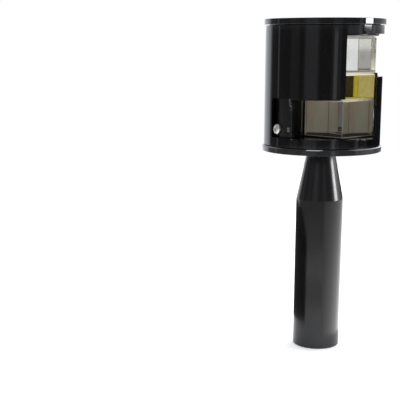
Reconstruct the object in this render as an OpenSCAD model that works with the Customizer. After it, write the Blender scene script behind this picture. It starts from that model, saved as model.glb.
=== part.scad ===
// Double pentaprism optical square on a plain turned handle.
// The eye looks along +Y. The lower prism brings in the view from the left (-X),
// the upper prism the view from the right (+X), and the amber block between them
// lets the eye look straight ahead. A shutter sleeve turns round the drum and
// closes every window. The origin is the middle of the handle's foot, +Z is up.

/* [Handle] */
// Diameter of the grip
grip_d = 16.3; // [12:0.1:22]
// Length of the plain grip, from the foot to the shoulder
grip_len = 53; // [35:1:90]
// Length of the taper above the shoulder
taper_len = 17; // [8:1:30]
// Diameter of the taper where it meets the base flange
taper_top_d = 9.4; // [8.5:0.1:12]
// Chamfer on the edge of the foot
foot_chamfer = 0.4; // [0.1:0.1:1.5]
// Thread diameter of the stud that holds the head on the handle
stud_d = 6; // [4:0.5:7]
// Depth of the stud's socket in the handle
socket_depth = 12.5; // [6:0.5:20]

/* [Flanges] */
// Thickness of the base flange
flange_t = 2; // [1.5:0.1:4]
// Thickness of the top cap
cap_t = 2; // [1.5:0.1:4]
// How far the flange and the cap stand out past the shutter sleeve
rim_overhang = 0.5; // [0.2:0.1:2]
// Radius on the rim edges of the cap and on the lower one of the flange
rim_round = 0.5; // [0.2:0.1:0.8]
// Chamfer on the upper rim edge of the base flange
flange_chamfer = 0.4; // [0.1:0.05:0.8]
// Radius of the circle of screws in the flange and in the cap
screw_circle_r = 12; // [8.5:0.5:14]
// Number of screws in the flange and in the cap
screw_count = 3; // [3:1:6]

/* [Prisms] */
// Width of each clear face of a pentaprism
prism_face = 16.5; // [12:0.5:20]
// Height of a pentaprism
prism_h = 12.5; // [9:0.5:18]
// Distance from the drum's axis to the face at the eye
eye_offset = 15.85; // [13:0.05:19]
// Height of the amber sighting block
sight_h = 8.4; // [5:0.2:14]
// Depth of the amber sighting block along the line of sight
sight_depth = 16.5; // [10:0.5:18]
// Thickness of the silvering's backing plates
coat_t = 0.2; // [0.1:0.05:0.4]
// Chamfer on the upright edges of the glass
glass_chamfer = 0.3; // [0.1:0.05:0.6]
// Thickness of the pads under and over the stack of glass
pad_t = 0.5; // [0.3:0.1:1.2]

/* [Drum] */
// Wall of the drum
drum_wall = 1.4; // [0.8:0.1:2]
// Metal outside the front corners of the prisms
corner_cover = 0.43; // [0.2:0.01:1]
// Thickness of the plug rims that the sleeve turns on
plug_rim_t = 1.5; // [1:0.1:3]
// Height of the plug spigots inside the drum
spigot_h = 1.6; // [1:0.1:4]
// Room on each side between the front corners of the glass and the drum's window
eye_margin = 1.05; // [0.8:0.05:1.5]
// How far in front of the axis the drum's side windows end
side_edge = 2.2; // [1:0.1:4]
// How far the drum's side windows stop short of the prisms' inner ends
side_sill = 0.1; // [0:0.1:1]
// How far the drum's window reaches below the lower prism
drum_sill = 0.3; // [0.1:0.05:0.4]
// How far the drum's window reaches above the upper prism
drum_head = 0.1; // [0.05:0.05:0.4]
// Half the width of the rear window
rear_half = 8; // [4:0.5:10]
// Corner radius of the milled windows
window_round = 1; // [0.4:0.1:1.5]

/* [Shutter sleeve] */
// Wall of the sleeve
sleeve_wall = 1.2; // [0.8:0.1:2]
// Gap between the drum and the sleeve
shutter_gap = 0.5; // [0.3:0.05:1]
// Gap at each end of the sleeve
end_gap = 0.2; // [0.1:0.05:0.6]
// Chamfer on the outer end edges of the sleeve
sleeve_chamfer = 0.1; // [0.1:0.05:0.4]
// Left edge of the sleeve's eye window, to the left of the line of sight
shutter_left = 9.42; // [8:0.1:11]
// Right edge of the sleeve's eye window, to the right of the line of sight
shutter_right = 4.7; // [3:0.1:7]
// How far in front of the axis the sleeve's right window ends
shutter_right_edge = 4.16; // [2:0.1:8]
// How far the sleeve's windows reach below the lower prism
shutter_sill = 0.3; // [0.1:0.05:1]
// How far the sleeve's windows reach above the upper prism
shutter_head = 0.5; // [0.1:0.05:1]
// How far the lower side window reaches above the lower prism
shutter_lap_low = 0.35; // [0:0.05:1]
// How far the upper side window reaches below the upper prism
shutter_lap_high = 1; // [0:0.05:1.5]
// Gap between the rear windows' edges and the ends of the sighting block
rear_lap = 0.6; // [0.2:0.1:1.5]

/* [Screws] */
// Angle of the stop screw, from the line to the eye round to the left
stop_angle = 101.6; // [95:0.2:110]
// Height of the stop screw above the foot of the lower prism
stop_rise = 2.45; // [2.2:0.05:8]
// Thread diameter of the stop screw
stop_d = 2; // [1.6:0.1:2.5]
// Head diameter of the stop screw
stop_head_d = 3.5; // [3:0.1:4.2]
// Head height of the stop screw
stop_head_h = 1.3; // [0.8:0.1:1.6]
// Length of the stop screw under its head
stop_len = 6; // [3:0.5:6.5]
// Gap between the stop screw's head and the sleeve when the windows are open
stop_gap = 0.15; // [0.05:0.05:0.4]
// Diameter of the headless screws that hold the prism blocks
grub_d = 1.6; // [1.2:0.1:2]
// Length of the headless screws
grub_len = 4; // [2.5:0.5:5]
// Angle of the headless screws beside the side windows
grub_angle = 87; // [86:0.5:89]
// Thread diameter of the flange and cap screws
flat_d = 2.5; // [2:0.1:3]
// Head diameter of the flange and cap screws
flat_head_d = 4.7; // [4:0.1:5.5]
// Head height of the flange and cap screws
flat_head_h = 1.2; // [0.8:0.1:1.4]
// Length of the flange and cap screws
flat_len = 4.5; // [3.5:0.1:4.6]

/* [Fits] */
// Radial clearance of screws and stud in their holes
thread_fit = 0.05; // [0.02:0.01:0.15]
// Radial clearance of the plugs and blocks in the drum
slip_fit = 0.05; // [0.02:0.01:0.15]
// Radial running clearance of the sleeve on the plug rims
run_fit = 0.08; // [0.03:0.01:0.1]
// Gap between the glass and the blocks beside it
glass_gap = 0.3; // [0.15:0.05:0.6]

/* [Hidden] */
$fn = 96;

// Angle that each silvered face leans from square
LEAN = 22.5;
// Length of a square's diagonal against its side
DIAGONAL = sqrt(2);
// Overlap that carries a cut past the face it opens
CUT = 1;
// Facets in the quarter circle of a window's corner or a rim
ARC_STEPS = 5;
// Room left at each end of the stud
STUD_RELIEF = 0.5;
// How deep the headless screws sit under the drum's surface
GRUB_SUNK = 0.2;
// Depth of a driver slot or recess as a share of its screw's head or thread
SLOT_SHARE = 0.4;
// Width of a driver slot as a share of its screw's diameter
SLOT_WIDTH = 0.2;
// Shares of a pan head: its straight skirt, its shoulder and its crown
PAN_SKIRT = 0.45;
PAN_SHOULDER = 0.8;
PAN_CROWN_R = 0.6;

// Corners of the glass, seen from above
half_face = prism_face / 2;
front_corner_r = norm([half_face, eye_offset]);
far_corner_x = prism_face * DIAGONAL - half_face;
far_corner_r = norm([far_corner_x, prism_face - eye_offset]);

// The drum is bored to clear the far corner and covers the front corners
drum_ri = max(front_corner_r + corner_cover - drum_wall, far_corner_r + coat_t + glass_gap);
drum_r = drum_ri + drum_wall;
sleeve_ri = drum_r + shutter_gap;
sleeve_r = sleeve_ri + sleeve_wall;
rim_r = sleeve_r + rim_overhang;
plug_rim_r = sleeve_ri - run_fit;
spigot_r = drum_ri - slip_fit;

// Heights of the stack, from the foot up
flange_z = grip_len + taper_len;
head_z = flange_z + flange_t;
drum_z = head_z + plug_rim_t;
seat_z = drum_z + spigot_h;
lower_z = seat_z + pad_t;
sight_z = lower_z + prism_h;
upper_z = sight_z + sight_h;
glass_top = upper_z + prism_h;
top_plug_z = glass_top + pad_t;
drum_top = top_plug_z + spigot_h;
cap_z = drum_top + plug_rim_t;
total_h = cap_z + cap_t;

// The window's edge that meets the stop screw's head
stop_lean = stop_angle - 90;
stop_head_r = drum_r + stop_head_h;
left_edge = stop_head_r * sin(stop_lean) + stop_head_d / 2 * cos(stop_lean) + stop_gap;
stop_z = lower_z + stop_rise;
eye_half = half_face + eye_margin;

function arc(cx, cy, r, from, to) =
    [for (i = [0 : ARC_STEPS])
        let (a = from + (to - from) * i / ARC_STEPS)
        [cx + r * cos(a), cy + r * sin(a)]];

function round_rect(x0, x1, y0, y1, r) = concat(
    arc(x1 - r, y0 + r, r, -90, 0),
    arc(x1 - r, y1 - r, r, 0, 90),
    arc(x0 + r, y1 - r, r, 90, 180),
    arc(x0 + r, y0 + r, r, 180, 270));

// Pentaprism outline with its square corner at the front left
function penta(grow = 0) = [
    [-half_face - grow, -eye_offset - grow],
    [-half_face - grow, prism_face - eye_offset + grow],
    [half_face + grow, prism_face * DIAGONAL - eye_offset + grow],
    [far_corner_x + grow, prism_face - eye_offset + grow],
    [half_face + grow, -eye_offset - grow]];

function unit(v) = v / norm(v);

// Each corner of an outline cut back by c along both its sides
function cut_corners(pts, c) = [
    for (i = [0 : len(pts) - 1])
        let (n = len(pts), p = pts[i], before = pts[(i + n - 1) % n], after = pts[(i + 1) % n])
        for (q = [before, after]) p + unit(q - p) * c];

// A window cut along Y, from y0 to y1
module cut_along_y(x0, x1, y0, y1, z0, z1) {
    translate([0, y1, 0])
        rotate([90, 0, 0])
            linear_extrude(y1 - y0)
                polygon(round_rect(x0, x1, z0, z1, window_round));
}

// A window cut along X, from x0 to x1
module cut_along_x(x0, x1, y0, y1, z0, z1) {
    translate([x0, 0, 0])
        rotate([90, 0, 90])
            linear_extrude(x1 - x0)
                polygon(round_rect(y0, y1, z0, z1, window_round));
}

// Places children on the drum at an angle round from the eye, with +Z pointing outwards
module on_drum(angle, r, z) {
    rotate([0, 0, angle])
        translate([0, -r, z])
            rotate([90, 0, 0])
                children();
}

module on_circle() {
    for (i = [0 : screw_count - 1])
        rotate([0, 0, i * 360 / screw_count])
            translate([0, -screw_circle_r, 0])
                children();
}

// A disc with a rounded lower rim edge and a chamfered upper one, or both rounded for no chamfer
module rim_disc(r, t, chamfer = 0) {
    rr = min(rim_round, t / 2 - 0.1);
    upper = chamfer > 0 ? [[r, t - chamfer], [r - chamfer, t]] : arc(r - rr, t - rr, rr, 0, 90);
    rotate_extrude()
        polygon(concat([[0, 0]], arc(r - rr, rr, rr, -90, 0), upper, [[0, t]]));
}

// Countersunk slotted screw, its head's flat face at z = 0 and its shank along +Z
module flat_screw(grow = 0) {
    translate([0, 0, grow > 0 ? -CUT : 0])
        cylinder(r = flat_d / 2 + grow, h = flat_len + (grow > 0 ? CUT + thread_fit : 0));
    cylinder(r1 = flat_head_d / 2 + grow, r2 = flat_d / 2 + grow, h = flat_head_h);
    if (grow > 0)
        translate([0, 0, -CUT])
            cylinder(r = flat_head_d / 2 + grow, h = CUT);
}

module slotted_flat_screw() {
    slot_h = flat_head_h * SLOT_SHARE;
    slot_w = flat_d * SLOT_WIDTH;
    difference() {
        flat_screw();
        translate([-flat_head_d, -slot_w / 2, -CUT])
            cube([2 * flat_head_d, slot_w, slot_h + CUT]);
    }
}

module handle() {
    color("#2b2c2e")
    difference() {
        rotate_extrude()
            polygon([[0, 0], [grip_d / 2 - foot_chamfer, 0], [grip_d / 2, foot_chamfer],
                     [grip_d / 2, grip_len], [taper_top_d / 2, flange_z], [0, flange_z]]);
        translate([0, 0, flange_z - socket_depth])
            cylinder(r = stud_d / 2 + thread_fit, h = socket_depth + CUT);
    }
}

module handle_stud() {
    color("#b8a468")
    translate([0, 0, flange_z - socket_depth + STUD_RELIEF])
        cylinder(r = stud_d / 2, h = socket_depth + seat_z - flange_z - 2 * STUD_RELIEF);
}

module base_flange() {
    color("#17181a")
    difference() {
        translate([0, 0, flange_z])
            rim_disc(rim_r, flange_t, flange_chamfer);
        translate([0, 0, flange_z - CUT])
            cylinder(r = stud_d / 2 + thread_fit, h = flange_t + 2 * CUT);
        translate([0, 0, flange_z])
            on_circle()
                flat_screw(thread_fit);
    }
}

module base_screws() {
    color("#9a9c9f")
    translate([0, 0, flange_z])
        on_circle()
            slotted_flat_screw();
}

// Both plugs: a rim that the sleeve turns on and a spigot inside the drum
module plug_body() {
    cylinder(r = plug_rim_r, h = plug_rim_t);
    cylinder(r = spigot_r, h = plug_rim_t + spigot_h);
}

module base_plug() {
    color("#232426")
    difference() {
        translate([0, 0, head_z])
            plug_body();
        translate([0, 0, head_z - CUT])
            cylinder(r = stud_d / 2 + thread_fit, h = plug_rim_t + spigot_h + 2 * CUT);
        translate([0, 0, flange_z])
            on_circle()
                flat_screw(thread_fit);
    }
}

module top_plug() {
    color("#232426")
    difference() {
        translate([0, 0, cap_z])
            mirror([0, 0, 1])
                plug_body();
        translate([0, 0, total_h])
            mirror([0, 0, 1])
                on_circle()
                    flat_screw(thread_fit);
    }
}

module drum_windows() {
    low = lower_z - drum_sill;
    high = glass_top + drum_head;
    reach = drum_r + CUT;
    cut_along_y(-eye_half, eye_half, -reach, 0, low, high);
    cut_along_x(-reach, -eye_half + drum_wall / 4, -reach, -side_edge, low, sight_z - side_sill);
    cut_along_x(eye_half - drum_wall / 4, reach, -reach, -side_edge, upper_z + side_sill, high);
    cut_along_y(-rear_half, rear_half, 0, reach, sight_z + rear_lap, upper_z - rear_lap);
}

module drum() {
    color("#1b1c1e")
    difference() {
        translate([0, 0, drum_z])
            cylinder(r = drum_r, h = drum_top - drum_z);
        translate([0, 0, drum_z - CUT])
            cylinder(r = drum_ri, h = drum_top - drum_z + 2 * CUT);
        drum_windows();
        on_drum(-stop_angle, drum_r, stop_z)
            translate([0, 0, -drum_wall - CUT])
                cylinder(r = stop_d / 2 + thread_fit, h = drum_wall + 2 * CUT);
        block_screw_holes();
    }
}

// Outline of a pad: the prism's, drawn in at the edges and trimmed to the drum's bore
module pad_outline() {
    intersection() {
        polygon(penta(-glass_gap));
        circle(r = spigot_r);
    }
}

module seat_pad() {
    color("#3a3634")
    translate([0, 0, seat_z])
        linear_extrude(pad_t)
            pad_outline();
}

module top_pad() {
    color("#3a3634")
    translate([0, 0, glass_top])
        linear_extrude(pad_t)
            mirror([1, 0])
                pad_outline();
}

module lower_prism() {
    color("#c9d2cf", 0.5)
    translate([0, 0, lower_z])
        linear_extrude(prism_h)
            polygon(cut_corners(penta(), glass_chamfer));
}

module upper_prism() {
    color("#c9d2cf", 0.5)
    translate([0, 0, upper_z])
        linear_extrude(prism_h)
            mirror([1, 0])
                polygon(cut_corners(penta(), glass_chamfer));
}

module sighting_block() {
    color("#c9a92f", 0.7)
    translate([0, 0, sight_z])
        linear_extrude(sight_h)
            polygon(cut_corners([[-half_face, -eye_offset], [half_face, -eye_offset],
                                 [half_face, sight_depth - eye_offset],
                                 [-half_face, sight_depth - eye_offset]], glass_chamfer));
}

// The backing plate on one silvered face that starts at a corner and runs along a direction
module mirror_back(corner, direction, side) {
    face_len = prism_face / cos(LEAN);
    translate([corner[0], corner[1], 2 * glass_chamfer])
        rotate([0, 0, direction])
            translate([3 * glass_chamfer, side > 0 ? 0 : -coat_t, 0])
                cube([face_len - 6 * glass_chamfer, coat_t, prism_h - 4 * glass_chamfer]);
}

module mirror_backs() {
    pts = penta();
    mirror_back(pts[1], LEAN, 1);
    mirror_back(pts[4], 90 - LEAN, -1);
}

module lower_mirror_backs() {
    color("#6a6258")
    translate([0, 0, lower_z])
        mirror_backs();
}

module upper_mirror_backs() {
    color("#6a6258")
    translate([0, 0, upper_z])
        mirror([1, 0, 0])
            mirror_backs();
}

// Filler block behind the clear side face, which locates the prism and takes the screws
module prism_block(h) {
    inner_x = -half_face - 2 * glass_gap;
    back = prism_face - eye_offset;
    off = coat_t + glass_gap;
    foot = [-half_face - off * sin(LEAN), back + off * cos(LEAN)];
    run = prism_face / 4;
    intersection() {
        cylinder(r = spigot_r, h = h);
        linear_extrude(h)
            polygon([[-drum_r, -side_edge + glass_gap],
                     [(inner_x - drum_ri) / 2, -side_edge + glass_gap],
                     [inner_x, back],
                     [inner_x, foot[1]],
                     foot,
                     foot + run * [cos(LEAN), sin(LEAN)],
                     [foot[0] + run * cos(LEAN), drum_r],
                     [-drum_r, drum_r]]);
    }
}

module stop_screw_hole() {
    on_drum(-stop_angle, drum_r, stop_z)
        translate([0, 0, -stop_len - thread_fit])
            cylinder(r = stop_d / 2 + thread_fit, h = stop_len + CUT);
}

// The three headless screws, each given as angle and height
block_screw_places = [[-grub_angle, stop_z], [grub_angle, glass_top - stop_rise],
                      [stop_angle, glass_top - stop_rise]];

module block_screw_holes() {
    for (p = block_screw_places)
        on_drum(p[0], drum_r, p[1])
            translate([0, 0, -grub_len - thread_fit])
                cylinder(r = grub_d / 2 + thread_fit, h = grub_len + CUT);
}

module left_block() {
    color("#1a1b1c")
    difference() {
        translate([0, 0, seat_z])
            prism_block(sight_z - side_sill - seat_z);
        stop_screw_hole();
        block_screw_holes();
    }
}

module right_block() {
    color("#1a1b1c")
    difference() {
        translate([0, 0, upper_z + side_sill])
            mirror([1, 0, 0])
                prism_block(top_plug_z - upper_z - side_sill);
        block_screw_holes();
    }
}

module block_screws() {
    color("#55575a")
    for (p = block_screw_places)
        on_drum(p[0], drum_r - GRUB_SUNK, p[1])
            difference() {
                translate([0, 0, GRUB_SUNK - grub_len])
                    cylinder(r = grub_d / 2, h = grub_len - GRUB_SUNK);
                translate([-grub_d, -grub_d * SLOT_WIDTH / 2, -grub_d * SLOT_SHARE])
                    cube([2 * grub_d, grub_d * SLOT_WIDTH, grub_d]);
            }
}

// Pan head screw with a cross recess, head outside the drum
module stop_screw() {
    head_r = stop_head_d / 2;
    arm = head_r * PAN_CROWN_R;
    color("#c8cacb")
    on_drum(-stop_angle, drum_r, stop_z)
        difference() {
            union() {
                translate([0, 0, -stop_len])
                    cylinder(r = stop_d / 2, h = stop_len + stop_head_h / 2);
                rotate_extrude()
                    polygon([[0, 0], [head_r, 0], [head_r, stop_head_h * PAN_SKIRT],
                             [head_r * PAN_SHOULDER, stop_head_h * PAN_SHOULDER],
                             [head_r * PAN_CROWN_R, stop_head_h], [0, stop_head_h]]);
            }
            for (turn = [45, 135])
                rotate([0, 0, turn])
                    translate([-arm, -stop_d * SLOT_WIDTH / 2, stop_head_h * (1 - SLOT_SHARE)])
                        cube([2 * arm, stop_d * SLOT_WIDTH, stop_head_h]);
        }
}

module top_cap() {
    color("#17181a")
    difference() {
        translate([0, 0, cap_z])
            rim_disc(rim_r, cap_t);
        translate([0, 0, total_h])
            mirror([0, 0, 1])
                on_circle()
                    flat_screw(thread_fit);
    }
}

module cap_screws() {
    color("#9a9c9f")
    translate([0, 0, total_h])
        mirror([0, 0, 1])
            on_circle()
                slotted_flat_screw();
}

module shutter_windows() {
    low = lower_z - shutter_sill;
    high = glass_top + shutter_head;
    reach = sleeve_r + CUT;
    cut_along_y(-shutter_left, shutter_right, -reach, 0, low, high);
    cut_along_x(-reach, -shutter_left + sleeve_wall / 2, -reach, left_edge, low, sight_z + shutter_lap_low);
    cut_along_x(shutter_right - sleeve_wall / 2, reach, -reach, -shutter_right_edge,
                upper_z - shutter_lap_high, high);
    cut_along_y(-rear_half, rear_half, 0, reach, sight_z + rear_lap, upper_z - rear_lap);
}

// Sleeve in the open position
module shutter_sleeve() {
    z0 = head_z + end_gap;
    z1 = cap_z - end_gap;
    c = sleeve_chamfer;
    color("#141517")
    difference() {
        rotate_extrude()
            polygon([[sleeve_ri, z0], [sleeve_r - c, z0], [sleeve_r, z0 + c],
                     [sleeve_r, z1 - c], [sleeve_r - c, z1], [sleeve_ri, z1]]);
        shutter_windows();
    }
}

handle();
handle_stud();
base_flange();
base_screws();
base_plug();
drum();
seat_pad();
lower_prism();
lower_mirror_backs();
sighting_block();
upper_prism();
upper_mirror_backs();
top_pad();
left_block();
right_block();
stop_screw();
block_screws();
top_plug();
top_cap();
cap_screws();
shutter_sleeve();
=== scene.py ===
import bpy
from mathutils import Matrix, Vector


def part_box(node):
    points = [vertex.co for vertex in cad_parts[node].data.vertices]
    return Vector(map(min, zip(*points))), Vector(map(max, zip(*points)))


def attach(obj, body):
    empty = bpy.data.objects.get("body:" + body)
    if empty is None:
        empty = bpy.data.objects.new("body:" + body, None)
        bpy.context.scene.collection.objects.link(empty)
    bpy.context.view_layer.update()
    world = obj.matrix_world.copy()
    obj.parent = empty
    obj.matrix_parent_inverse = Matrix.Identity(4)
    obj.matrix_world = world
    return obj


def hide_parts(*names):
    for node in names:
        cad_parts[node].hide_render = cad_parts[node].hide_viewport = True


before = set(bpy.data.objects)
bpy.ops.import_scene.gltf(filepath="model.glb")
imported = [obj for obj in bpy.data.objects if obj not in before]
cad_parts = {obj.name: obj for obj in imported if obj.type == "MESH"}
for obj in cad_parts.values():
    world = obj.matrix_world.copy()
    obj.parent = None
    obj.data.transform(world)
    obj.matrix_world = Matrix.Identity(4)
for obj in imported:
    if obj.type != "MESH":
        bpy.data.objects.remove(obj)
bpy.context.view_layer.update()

"""Looks of a double pentaprism optical square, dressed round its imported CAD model.

Lengths in the dataclasses are millimetres, as on a drawing, and become metres where a mesh is made.
Angles round the head are degrees from the line to the eye (-Y), positive towards +X.
"""

import logging
import math
from collections.abc import Callable, Iterator, Sequence
from contextlib import contextmanager
from dataclasses import astuple, dataclass, field
from enum import Enum

import bmesh
import bpy
from bmesh.types import BMEdge, BMesh
from bpy.types import Material, Mesh, Node, NodeSocket, NodeTree, Object
from mathutils import Matrix, Vector

MM = 0.001
SEGMENTS = 256
ARC_STEPS = 6
# The least upward part of a level face's normal
LEVEL = 0.9999
SHARP_ANGLE = math.radians(35)
EASED_ANGLE = math.radians(50)
ARRIS_ANGLE = math.radians(20)
# Points closer than this, in metres, are one
WELD = 1e-7
ROUND_TOLERANCE = 0.02 * MM
FLAT_TOLERANCE = 0.001 * MM
UPRIGHT_LENGTH = 2 * MM
# How far a cutter stands past what it cuts
CLEAR = 1.0
ENAMEL_IOR = 1.5
WHOLE = (0, 1)
CLOUDS = (0.35, 0.7)
MOTTLE = (0.35, 0.65)
WEAR_FALLOFF = (0.16, -0.3)
WEAR_EDGE = (0.58, 0.62)
Point = tuple[float, float]
Colours = tuple[str, str]
Corner = tuple[float, float, float]
Spot = tuple[Corner, float]
log = logging.getLogger("optical_square")


class Body(Enum):
    """The CAD bodies that pieces ride on."""

    HEAD = "square_body"
    SHUTTER = "shutter"


class Axis(Enum):
    """The row axis that a window is milled along."""

    X = "x"
    Y = "y"


class Pattern(Enum):
    """The textures that a grain is drawn with."""

    CLOUDED = "ShaderNodeTexNoise"
    GRANULAR = "ShaderNodeTexVoronoi"


# Helpers for colours and nodes


def srgb(code: str) -> tuple[float, ...]:
    """Turn an sRGB hex colour, such as "#1A2B3C", into linear RGBA."""
    channels = (int(code[i : i + 2], 16) / 255 for i in (1, 3, 5))
    return (*(c / 12.92 if c <= 0.04045 else ((c + 0.055) / 1.055) ** 2.4 for c in channels), 1.0)


def fill(node: Node, inputs: dict | Sequence) -> Node:
    """Set or link a node's inputs.

    Args:
        node: The node.
        inputs: What each socket gets, by name or index, or in order: a value, a hex colour, the output
            socket that feeds it, or the node whose first output does.

    Returns:
        The same node.
    """
    for key, value in inputs.items() if isinstance(inputs, dict) else enumerate(inputs):
        if isinstance(value, Node):
            value = value.outputs[0]
        if isinstance(value, NodeSocket):
            node.id_data.links.new(value, node.inputs[key])
        else:
            node.inputs[key].default_value = srgb(value) if isinstance(value, str) else value
    return node


def add(tree: NodeTree, kind: str, inputs: dict | Sequence = (), **settings: object) -> Node:
    """Add one node with its settings, and fill or link its inputs.

    Args:
        tree: The node tree to add to.
        kind: The node's type name.
        inputs: As in fill().
        settings: Attributes of the node itself.

    Returns:
        The new node.
    """
    node = tree.nodes.new(kind)
    for key, value in settings.items():
        setattr(node, key, value)
    return fill(node, inputs)


@dataclass(frozen=True)
class Grain:
    """A random pattern with features of a real size in millimetres, longer along Z if it is stretched."""

    size: float
    detail: float = 2.0
    stretch: float = 1.0
    pattern: Pattern = Pattern.CLOUDED

    def draw(self, where: NodeSocket) -> Node:
        """Draw the pattern.

        Args:
            where: The coordinates that it is drawn on.

        Returns:
            The node that gives its value.
        """
        tree = where.id_data
        if self.stretch != 1:
            scale = (1.0, 1.0, 1 / self.stretch)
            where = add(tree, "ShaderNodeMapping", {"Vector": where, "Scale": scale}).outputs[0]
        inputs = {"Vector": where, "Scale": 1 / (self.size * MM), "Detail": self.detail}
        return add(tree, self.pattern.value, inputs)

    def share(self, where: NodeSocket, edge: Point, levels: Point = WHOLE) -> Node:
        """Return the pattern with its values inside an edge stretched to levels, and clamped."""
        return add(where.id_data, "ShaderNodeMapRange", (self.draw(where), *edge, *levels))

    def tone(self, where: NodeSocket, edge: Point, colours: Colours, levels: Point = WHOLE) -> NodeSocket:
        """Mix two colours in the pattern.

        Args:
            where: The coordinates that it is drawn on.
            edge: The values of the pattern that the colours change between.
            colours: The colour below the edge and the one above it.
            levels: The shares of the second colour at both ends of the edge.

        Returns:
            The colour.
        """
        inputs = {0: self.share(where, edge, levels), 6: colours[0], 7: colours[1]}
        return add(where.id_data, "ShaderNodeMix", inputs, data_type="RGBA").outputs[2]

    def relief(self, where: NodeSocket, depth_mm: float, under: Node | None = None) -> Node:
        """Bump the surface in the pattern.

        Args:
            where: The coordinates that it is drawn on.
            depth_mm: Its real depth.
            under: The node that gives the normal under it, if not the surface's own.

        Returns:
            The node that gives the bumped normal.
        """
        inputs = {"Strength": 1.0, "Distance": depth_mm * MM, "Height": self.draw(where)}
        if under:
            inputs["Normal"] = under
        return add(where.id_data, "ShaderNodeBump", inputs)


def worn(where: NodeSocket, spots: Sequence[Spot], breaks: Grain) -> Node:
    """Make a mask of broken paint that thins out from the middle of each worn spot.

    Args:
        where: The coordinates to read.
        spots: Each spot's middle and reach, in millimetres.
        breaks: The pattern that the paint breaks in.

    Returns:
        What gives the mask, 1 where the paint is gone.
    """
    tree = where.id_data
    wear: Node | float = -1.0
    for centre, reach in spots:
        middle = tuple(c * MM for c in centre)
        away = add(tree, "ShaderNodeVectorMath", (where, middle), operation="DISTANCE").outputs["Value"]
        close = add(tree, "ShaderNodeMapRange", (away, 0, reach * MM, *WEAR_FALLOFF))
        wear = add(tree, "ShaderNodeMath", (wear, close), operation="MAXIMUM")
    total = add(tree, "ShaderNodeMath", (breaks.draw(where), wear), operation="ADD")
    return add(tree, "ShaderNodeMapRange", (total, *WEAR_EDGE, *WHOLE))


def sill_wear() -> tuple[Spot, ...]:
    """Return the worn spots on the sill of the sleeve's windows: one at the left and a row at the right."""
    radius, height, reach = 20.1, 75.25, 0.95
    left, row, step, count = 191.0, 257.0, 2.75, 9
    bearings = [math.radians(a) for a in (left, *(row + step * i for i in range(count)))]
    return tuple(((radius * math.cos(a), radius * math.sin(a), height), reach) for a in bearings)


# Finishes


class Finish:
    """A finish, which is made into a material that is named for the real one."""

    name: str

    def surface(self, where: NodeSocket) -> dict[str, object]:
        """Draw the finish.

        Args:
            where: The Object coordinates that its patterns are drawn on.

        Returns:
            The inputs of the Principled shader.
        """
        raise NotImplementedError

    def make(self) -> Material:
        """Return the material."""
        material = bpy.data.materials.new(self.name)
        material.use_nodes = True
        tree = material.node_tree
        tree.nodes.clear()
        shader = add(tree, "ShaderNodeBsdfPrincipled")
        add(tree, "ShaderNodeOutputMaterial", {"Surface": shader})
        fill(shader, self.surface(add(tree, "ShaderNodeTexCoord").outputs["Object"]))
        return material


@dataclass(frozen=True)
class StovedEnamel(Finish):
    """Stoving enamel on metal: sprayed and baked, a thin hard black coat with a faint orange peel."""

    name: str = "gloss_black_stoving_enamel"
    colour: str = "#050506"
    dust_colour: str = "#303336"
    roughness: Point = (0.02, 0.05)
    peel: Grain = Grain(2.6)
    peel_depth_mm: float = 0.0006
    dust: Grain = Grain(0.24, 0)
    dust_edge: Point = (0.79, 0.81)
    smudge: Grain = Grain(9.0, 4)
    bare_colour: str = "#A8A8A6"
    breaks: Grain = Grain(0.3, 4)
    chips: tuple[Spot, ...] = ()

    def surface(self, where: NodeSocket) -> dict[str, object]:
        """Draw the enamel, chipped to bare metal at its worn spots.

        Args:
            where: The Object coordinates.

        Returns:
            The inputs of the Principled shader.
        """
        # Gives the eye a deep black that mirrors the room sharply, with a little dust and handling haze
        colour = self.dust.tone(where, self.dust_edge, (self.colour, self.dust_colour))
        if self.chips:
            inputs = {0: worn(where, self.chips, self.breaks), 6: colour, 7: self.bare_colour}
            colour = add(where.id_data, "ShaderNodeMix", inputs, data_type="RGBA").outputs[2]
        return {
            "Base Color": colour,
            "Roughness": self.smudge.share(where, CLOUDS, self.roughness),
            "Normal": self.peel.relief(where, self.peel_depth_mm),
            "IOR": ENAMEL_IOR,
        }


@dataclass(frozen=True)
class SatinEnamel(Finish):
    """Satin stoving enamel on the turned handle: the same black with a softer, finer surface."""

    name: str = "satin_black_stoving_enamel"
    colours: Colours = ("#060608", "#0B0B0D")
    roughness: Point = (0.17, 0.24)
    grain: Grain = Grain(0.22)
    grain_depth_mm: float = 0.0008
    turning_mm: float = 7.0
    turning_depth_mm: float = 0.0004
    turning_waver: float = 0.6
    smudge: Grain = Grain(14.0, 3)
    smudge_edge: Point = (0.4, 0.65)

    def surface(self, where: NodeSocket) -> dict[str, object]:
        """Draw the enamel, with faint turning marks under the coat.

        Args:
            where: The Object coordinates.

        Returns:
            The inputs of the Principled shader.
        """
        # Gives the eye a blue-black with soft-edged highlights that a hand has slightly rubbed
        tree = where.id_data
        scale = 1 / (self.turning_mm * MM)
        wave = {"Vector": where, "Scale": scale, "Distortion": self.turning_waver, "Detail": 2}
        turning = add(tree, "ShaderNodeTexWave", wave, bands_direction="Z").outputs["Fac"]
        inputs = {"Strength": 1.0, "Distance": self.turning_depth_mm * MM, "Height": turning}
        return {
            "Base Color": self.smudge.tone(where, self.smudge_edge, self.colours),
            "Roughness": self.smudge.share(where, CLOUDS, self.roughness),
            "Normal": self.grain.relief(where, self.grain_depth_mm, add(tree, "ShaderNodeBump", inputs)),
            "IOR": ENAMEL_IOR,
        }


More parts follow.
